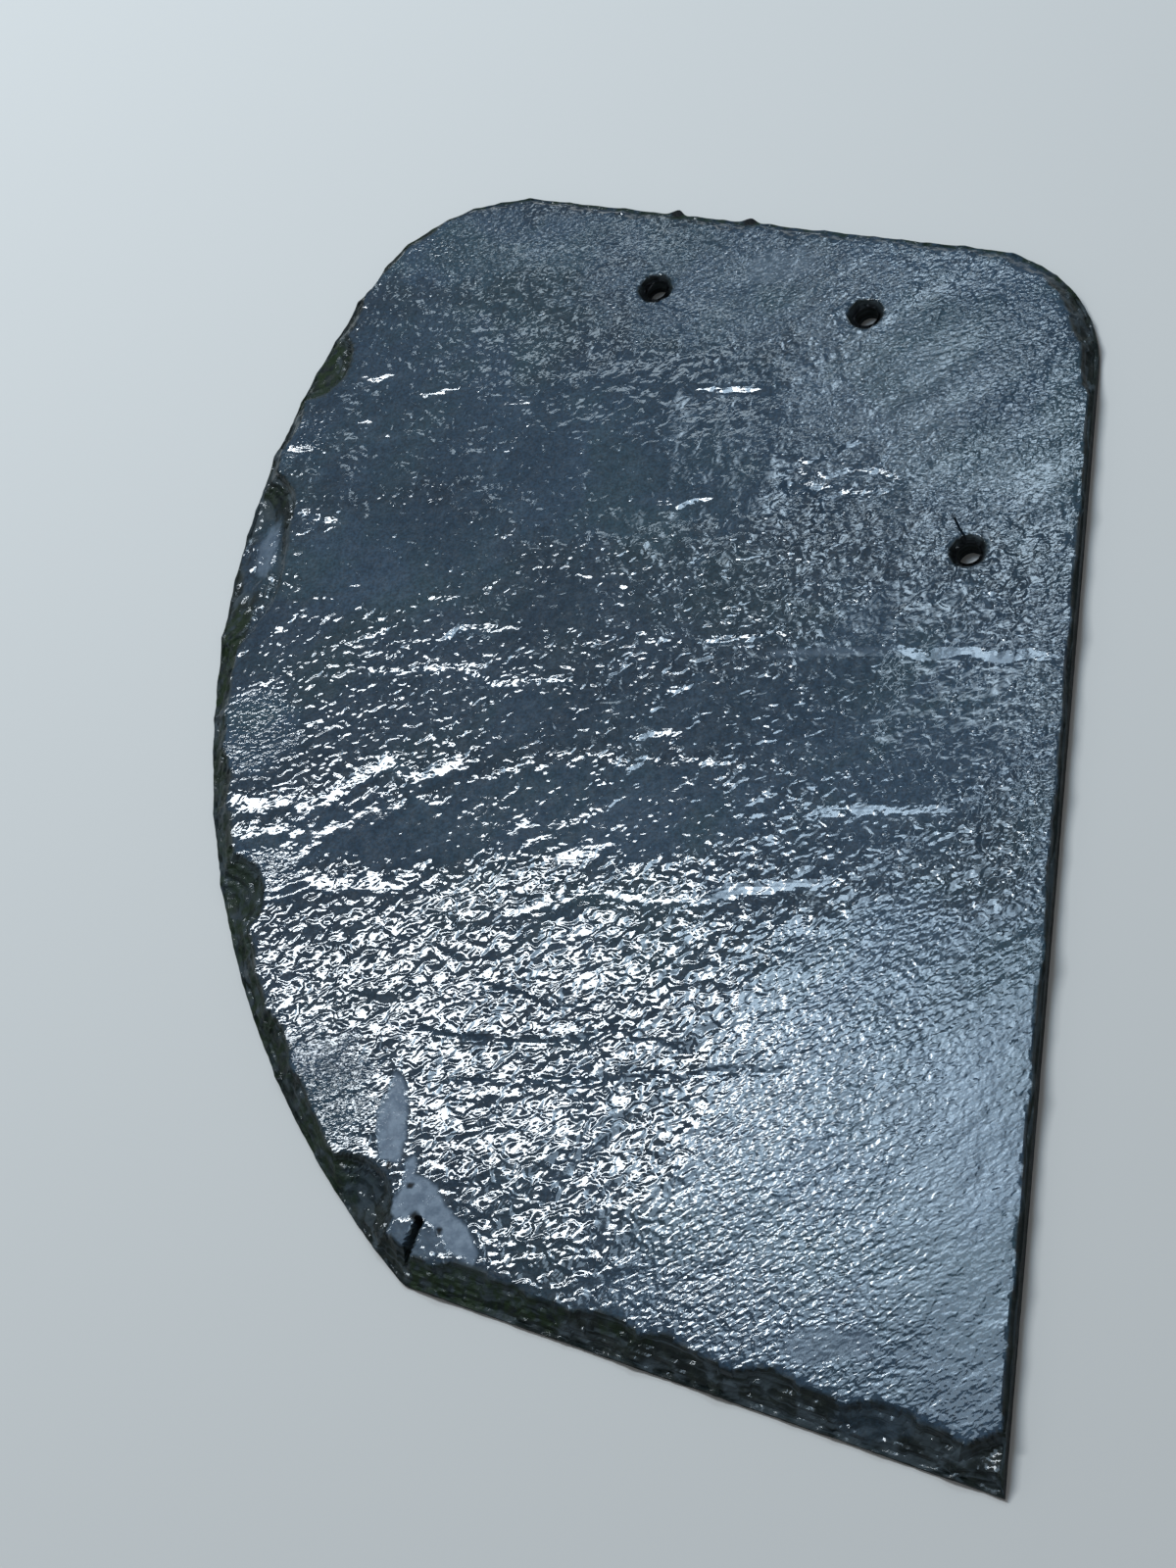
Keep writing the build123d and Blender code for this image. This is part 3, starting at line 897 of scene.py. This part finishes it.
def wall_part(tops, bottoms, top_heights, fresh):
    """Places and faces of the walls, numbered from fresh, and where each one's lowest row starts."""
    places = []
    faces = []
    bottom_starts = []
    start = 0
    for number, (top, bottom) in enumerate(zip(tops, bottoms)):
        bite = WALL_LAYER_BITE if number == 0 else HOLE_LAYER_BITE
        upper = start
        for row in wall_rows(top, bottom, top_heights[number], bite, 99 + number):
            places.append(row)
            faces += strip(upper, fresh, len(row)).tolist()
            upper = fresh
            fresh += len(row)
        bottom_starts.append(upper)
        start += len(top)
    return np.vstack(places), faces, bottom_starts


def back_part(tree, rings, bottoms, bottom_starts, fresh):
    """Places and triangles of the back, which joins the walls' lowest rows, numbered from fresh."""
    grid = hex_grid(rings[0].min(axis=0), rings[0].max(axis=0), BACK_SPACING)
    grid = grid[cad_heights(tree, grid) > LEAST_STONE]
    grid = thinned(grid, np.vstack(rings), 0.6 * BACK_SPACING)
    half_way = rings[0][::3] + into_stone(rings[0])[::3] * 0.45 * BACK_SPACING
    half_way = thinned(half_way, rings[0], 0.4 * BACK_SPACING)
    grid = np.vstack([half_way, thinned(grid, half_way, 0.5 * BACK_SPACING)])
    _, faces = triangles_over(bottoms, grid)
    numbers = [first + np.arange(len(ring)) for first, ring in zip(bottom_starts, rings)]
    numbers = np.concatenate([*numbers, fresh + np.arange(len(grid))])
    x, y = grid.T
    relief = BACK_RELIEF * (0.5 + 0.5 * turned_grain(x, y, 40, 16, 101))
    relief = np.clip(relief + 0.08 * turned_grain(x, y, 12, 7, 102), 0, None)
    relief *= smooth(1, 9, nearest(grid, rings[0]))
    return np.c_[grid, relief], numbers[faces][:, ::-1].tolist()


def stone_mesh(node):
    """The whole slate as places, faces and masks, in millimetres."""
    corners, triangles = cad_mesh(node)
    tree = BVHTree.FromPolygons(corners.tolist(), triangles.tolist())
    rings = [evenly_spaced(ring, EDGE_SPACING) for ring in back_rings(corners, triangles)]
    bottoms = [broken_outline(rings[0], 91)] + [bitten(ring, HOLE_LOWER_BITE, 93) for ring in rings[1:]]
    tops = [broken_outline(rings[0], 95)] + [bitten(ring, HOLE_UPPER_BITE, 97) for ring in rings[1:]]
    top_heights = outline_tops(tree, rings)

    face, faces, masks = face_part(tree, rings, tops, top_heights)
    walls, wall_faces, bottom_starts = wall_part(tops, bottoms, top_heights, len(face))
    back, back_faces = back_part(tree, rings, bottoms, bottom_starts, len(face) + len(walls))
    for name, on_face in masks.items():
        on_walls = np.full(len(walls), WALL_MASKS.get(name, 0.0))
        on_back = np.full(len(back), BACK_MASKS.get(name, 0.0))
        masks[name] = np.concatenate([on_face, on_walls, on_back])
    return np.vstack([face, walls, back]), faces + wall_faces + back_faces, masks


def make_stone(node):
    """The slate's visible piece, which stands for the CAD solid."""
    places, faces, masks = stone_mesh(node)
    mesh = bpy.data.meshes.new("scale_slate_stone")
    mesh.from_pydata((places * MM).tolist(), [], faces)
    mesh.validate()
    mesh.update()
    for name, value in masks.items():
        layer = mesh.attributes.new(name, "FLOAT", "POINT")
        layer.data.foreach_set("value", value.astype(np.float32))
    mesh.shade_smooth()
    mesh.set_sharp_from_angle(angle=CREASE)
    stone = bpy.data.objects.new("scale_slate_stone", mesh)
    bpy.context.collection.objects.link(stone)
    return stone


class Nodes:
    """Short calls for making a material's nodes."""

    def __init__(self, name):
        self.material = bpy.data.materials.new(name)
        self.material.use_nodes = True
        self.tree = self.material.node_tree
        self.tree.nodes.clear()

    def add(self, kind, inputs=None, **settings):
        """A node with its settings, and its inputs linked or set by name or number."""
        node = self.tree.nodes.new(kind)
        for key, value in settings.items():
            setattr(node, key, value)
        for key, value in (inputs or {}).items():
            if isinstance(value, bpy.types.NodeSocket):
                self.tree.links.new(value, node.inputs[key])
            else:
                node.inputs[key].default_value = value
        return node

    def mask(self, name):
        """One of the mesh's masks."""
        return self.add("ShaderNodeAttribute", attribute_name=name).outputs["Fac"]

    def math(self, operation, first, second):
        """One sum."""
        return self.add("ShaderNodeMath", {0: first, 1: second}, operation=operation).outputs[0]

    def mix(self, share, first, second):
        """A blend of two colours."""
        inputs = {"Factor": share, 6: first, 7: second}
        return self.add("ShaderNodeMix", inputs, data_type="RGBA").outputs[2]

    def scale(self, colour, factor):
        """A colour made lighter or darker by a factor."""
        inputs = {0: colour, "Scale": factor}
        return self.add("ShaderNodeVectorMath", inputs, operation="SCALE").outputs[0]

    def span(self, value, low, high, to_low=0.0, to_high=1.0):
        """A value from one range put smoothly into another."""
        inputs = {"Value": value, "From Min": low, "From Max": high, "To Min": to_low, "To Max": to_high}
        return self.add("ShaderNodeMapRange", inputs, interpolation_type="SMOOTHSTEP").outputs["Result"]

    def cloud(self, vector, scale, detail=2.0, roughness=0.5, distortion=0.0):
        """Noise from 0 to 1 with swells of one over scale metres."""
        inputs = {"Vector": vector, "Scale": scale, "Detail": detail, "Roughness": roughness,
                  "Distortion": distortion}
        return self.add("ShaderNodeTexNoise", inputs).outputs["Fac"]

    def grained(self, vector, turn, scale, *texture):
        """Noise like cloud's, with its own scale along a direction on the face, across it and up."""
        inputs = {"Vector": vector, "Angle": -turn}
        aligned = self.add("ShaderNodeVectorRotate", inputs, rotation_type="Z_AXIS").outputs[0]
        scaled = self.add("ShaderNodeVectorMath", {0: aligned, 1: scale}, operation="MULTIPLY")
        return self.cloud(scaled.outputs[0], 1.0, *texture)

    def bump(self, height, distance, below=None):
        """A bump of a height in metres, on top of another where one is given."""
        inputs = {"Height": height, "Distance": distance}
        if below is not None:
            inputs["Normal"] = below
        return self.add("ShaderNodeBump", inputs).outputs["Normal"]

    def finished(self, inputs):
        """The material, with one shader that has these inputs."""
        shader = self.add("ShaderNodeBsdfPrincipled", inputs)
        self.add("ShaderNodeOutputMaterial", {"Surface": shader.outputs[0]})
        return self.material


def slate_colour(nodes, where, masks):
    """The stone's colour: blue-grey on the face, dark and partly painted shade on broken edges, green
    where algae grow.
    """
    broad = nodes.cloud(where, 22, 3, 0.55, 0.4)
    streaks = nodes.grained(where, LOWER_GRAIN, STREAK_SCALE, 3, 0.6)
    fine = nodes.cloud(where, 900, 2, 0.6)
    tint = nodes.mix(nodes.span(nodes.cloud(where, 38, 2, 0.6, 0.5), 0.40, 0.60), SLATE_TEAL, SLATE_MID)
    colour = nodes.mix(nodes.span(broad, 0.36, 0.62), SLATE_DEEP, tint)
    colour = nodes.mix(nodes.span(streaks, 0.48, 0.78, 0.0, 0.55), colour, SLATE_PALE)
    colour = nodes.mix(nodes.span(fine, 0.60, 0.78, 0.0, 0.35), colour, SLATE_WARM)
    specks = nodes.span(nodes.cloud(where, 1300, 2, 0.7), 0.32, 0.68, 0.66, 1.36)
    colour = nodes.scale(colour, specks)
    # Darker where the film of water swells, which deepens the gaps between the glints.
    colour = nodes.scale(colour, nodes.span(masks["rough"], 0.2, 1.0, 1.0, SWELL_DARKENING))
    # Pale dry stone, and a painted sheen on the large flake's floor.
    dried_and_sheen = nodes.mix(nodes.span(nodes.cloud(where, 420, 2, 0.6), 0.35, 0.70), DRY_AND_SHEEN_GREY, DRY_AND_SHEEN_PALE)
    colour = nodes.mix(masks["dry_and_sheen"], colour, dried_and_sheen)
    # Broken edges: dark algae and broken stone, partly painted shade.
    rot = nodes.span(nodes.cloud(where, 260, 3, 0.6), 0.42, 0.66)
    broken = nodes.mix(rot, EDGE_DARK_AND_SHADE, EDGE_BROWN_AND_SHADE)
    layers = nodes.grained(where, 0.0, LAYER_SCALE, 2, 0.5)
    broken = nodes.mix(nodes.span(layers, 0.48, 0.62, 0.0, 0.5), broken, EDGE_SLATE)
    # Ridges between the flake scars painted lighter: partly wear, partly painted highlight.
    broken = nodes.mix(nodes.math("MULTIPLY", masks["ridge_wear_and_highlight"], 0.62), broken, EDGE_SLATE)
    colour = nodes.mix(masks["dressed"], colour, broken)
    growth = nodes.math("MULTIPLY", masks["moss"], nodes.span(nodes.cloud(where, 420, 2), 0.35, 0.6))
    colour = nodes.mix(growth, colour, MOSS_GREEN)
    # Painted shade in the nail holes, the pits and the crack, and the dark dirt of the crumbs.
    return nodes.mix(masks["hole_shade_and_dirt"], colour, SHADE_AND_DIRT_BLACK)


def droplets(nodes, where, masks):
    """Height of small beads of water, one in some of the cells of an uneven honeycomb."""
    cells = nodes.add("ShaderNodeTexVoronoi", {"Vector": where, "Scale": BEAD_CELLS})
    chance = nodes.add("ShaderNodeSeparateColor", {"Color": cells.outputs["Color"]}).outputs[0]
    bead = nodes.span(cells.outputs["Distance"], *BEAD_REACH, 1.0, 0.0)
    chosen = nodes.math("GREATER_THAN", chance, BEADLESS)
    return nodes.math("MULTIPLY", bead, nodes.math("MULTIPLY", chosen, masks["beads"]))


def slate_material():
    """Wet riven slate: a rough stone under a thin film of water."""
    nodes = Nodes("slate_wet_riven")
    where = nodes.add("ShaderNodeTexCoord").outputs["Object"]
    masks = {name: nodes.mask(name) for name in MASKS}
    colour = slate_colour(nodes, where, masks)

    swell = nodes.grained(where, LOWER_GRAIN, SWELL_SCALE, 0.8, 0.5, 0.7)
    glitter = nodes.grained(where, FINE_GRAIN, GLITTER_SCALE, 1, 0.5, 0.4)
    calm = nodes.grained(where, LOWER_GRAIN, CALM_SCALE, 1, 0.5, 0.3)
    split = nodes.grained(where, 0.0, SPLIT_SCALE, 3, 0.6)
    pores = nodes.cloud(where, PORE_SCALE, 2, 0.6)
    film = nodes.bump(nodes.math("MULTIPLY", swell, masks["rough"]), SWELL_BUMP)
    film = nodes.bump(nodes.math("MULTIPLY", glitter, masks["fine"]), GLITTER_BUMP, below=film)
    film = nodes.bump(nodes.math("MULTIPLY", calm, masks["calm"]), CALM_BUMP, below=film)
    film = nodes.bump(droplets(nodes, where, masks), BEAD_BUMP, below=film)
    stone = nodes.bump(nodes.math("MULTIPLY", split, masks["dressed"]), SPLIT_BUMP, below=film)
    stone = nodes.bump(pores, PORE_BUMP, below=stone)

    return nodes.finished({
        "Base Color": colour,
        "Roughness": nodes.span(nodes.cloud(where, 500, 2), 0.3, 0.7, *STONE_ROUGHNESS),
        "IOR": STONE_IOR,
        "Normal": stone,
        "Coat Weight": masks["wet"],
        "Coat Roughness": FILM_ROUGHNESS,
        "Coat IOR": FILM_IOR,
        "Coat Normal": film,
    })


def make_floor():
    """A plain pale floor under the slate."""
    half = FLOOR_SIZE / 2
    corners = [(-half, -half, 0), (half, -half, 0), (half, half, 0), (-half, half, 0)]
    mesh = bpy.data.meshes.new("floor")
    mesh.from_pydata(corners, [], [(0, 1, 2, 3)])
    floor = bpy.data.objects.new("floor", mesh)
    bpy.context.collection.objects.link(floor)
    mesh.materials.append(Nodes("floor_pale").finished({"Base Color": FLOOR_PALE, "Roughness": 0.9}))


def make_lights():
    """Softboxes where the wet face mirrors the photograph's sky, and an even fill."""
    for name, (place, size, brightness, colour) in LAMPS.items():
        lamp = bpy.data.lights.new(name, "AREA")
        lamp.shape = "ELLIPSE" if name in OVAL_LAMPS else "RECTANGLE"
        lamp.size, lamp.size_y = size
        area = size[0] * size[1] * (OVAL_SHARE if name in OVAL_LAMPS else 1)
        lamp.energy = brightness * math.pi * area
        lamp.color = colour
        softbox = bpy.data.objects.new(name, lamp)
        softbox.location = place
        bpy.context.collection.objects.link(softbox)
    world = bpy.data.worlds.new("studio")
    world.use_nodes = True
    background = world.node_tree.nodes["Background"]
    background.inputs["Color"].default_value = SKY_COLOUR
    background.inputs["Strength"].default_value = SKY_STRENGTH
    bpy.context.scene.world = world


def make_camera():
    """A camera where the photograph's camera stood, turned to the slate, with a longer lens."""
    up = PHOTO_RIGHT.cross(PHOTO_FORWARD)
    photo = Matrix((PHOTO_RIGHT, up, -PHOTO_FORWARD)).transposed()
    turn = PHOTO_FORWARD.rotation_difference(AIM_AT - CAMERA_PLACE)
    data = bpy.data.cameras.new("camera")
    data.sensor_fit = "VERTICAL"
    data.sensor_height = SENSOR
    data.lens = LENS
    data.clip_start = 0.01
    camera = bpy.data.objects.new("camera", data)
    camera.matrix_world = Matrix.Translation(CAMERA_PLACE) @ (turn.to_matrix() @ photo).to_4x4()
    bpy.context.collection.objects.link(camera)
    bpy.context.scene.camera = camera


stone = make_stone(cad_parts["scale_slate"])
stone.data.materials.append(slate_material())
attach(stone, "root")
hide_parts("scale_slate")
make_floor()
make_lights()
make_camera()
bpy.context.scene.view_settings.view_transform = "Standard"
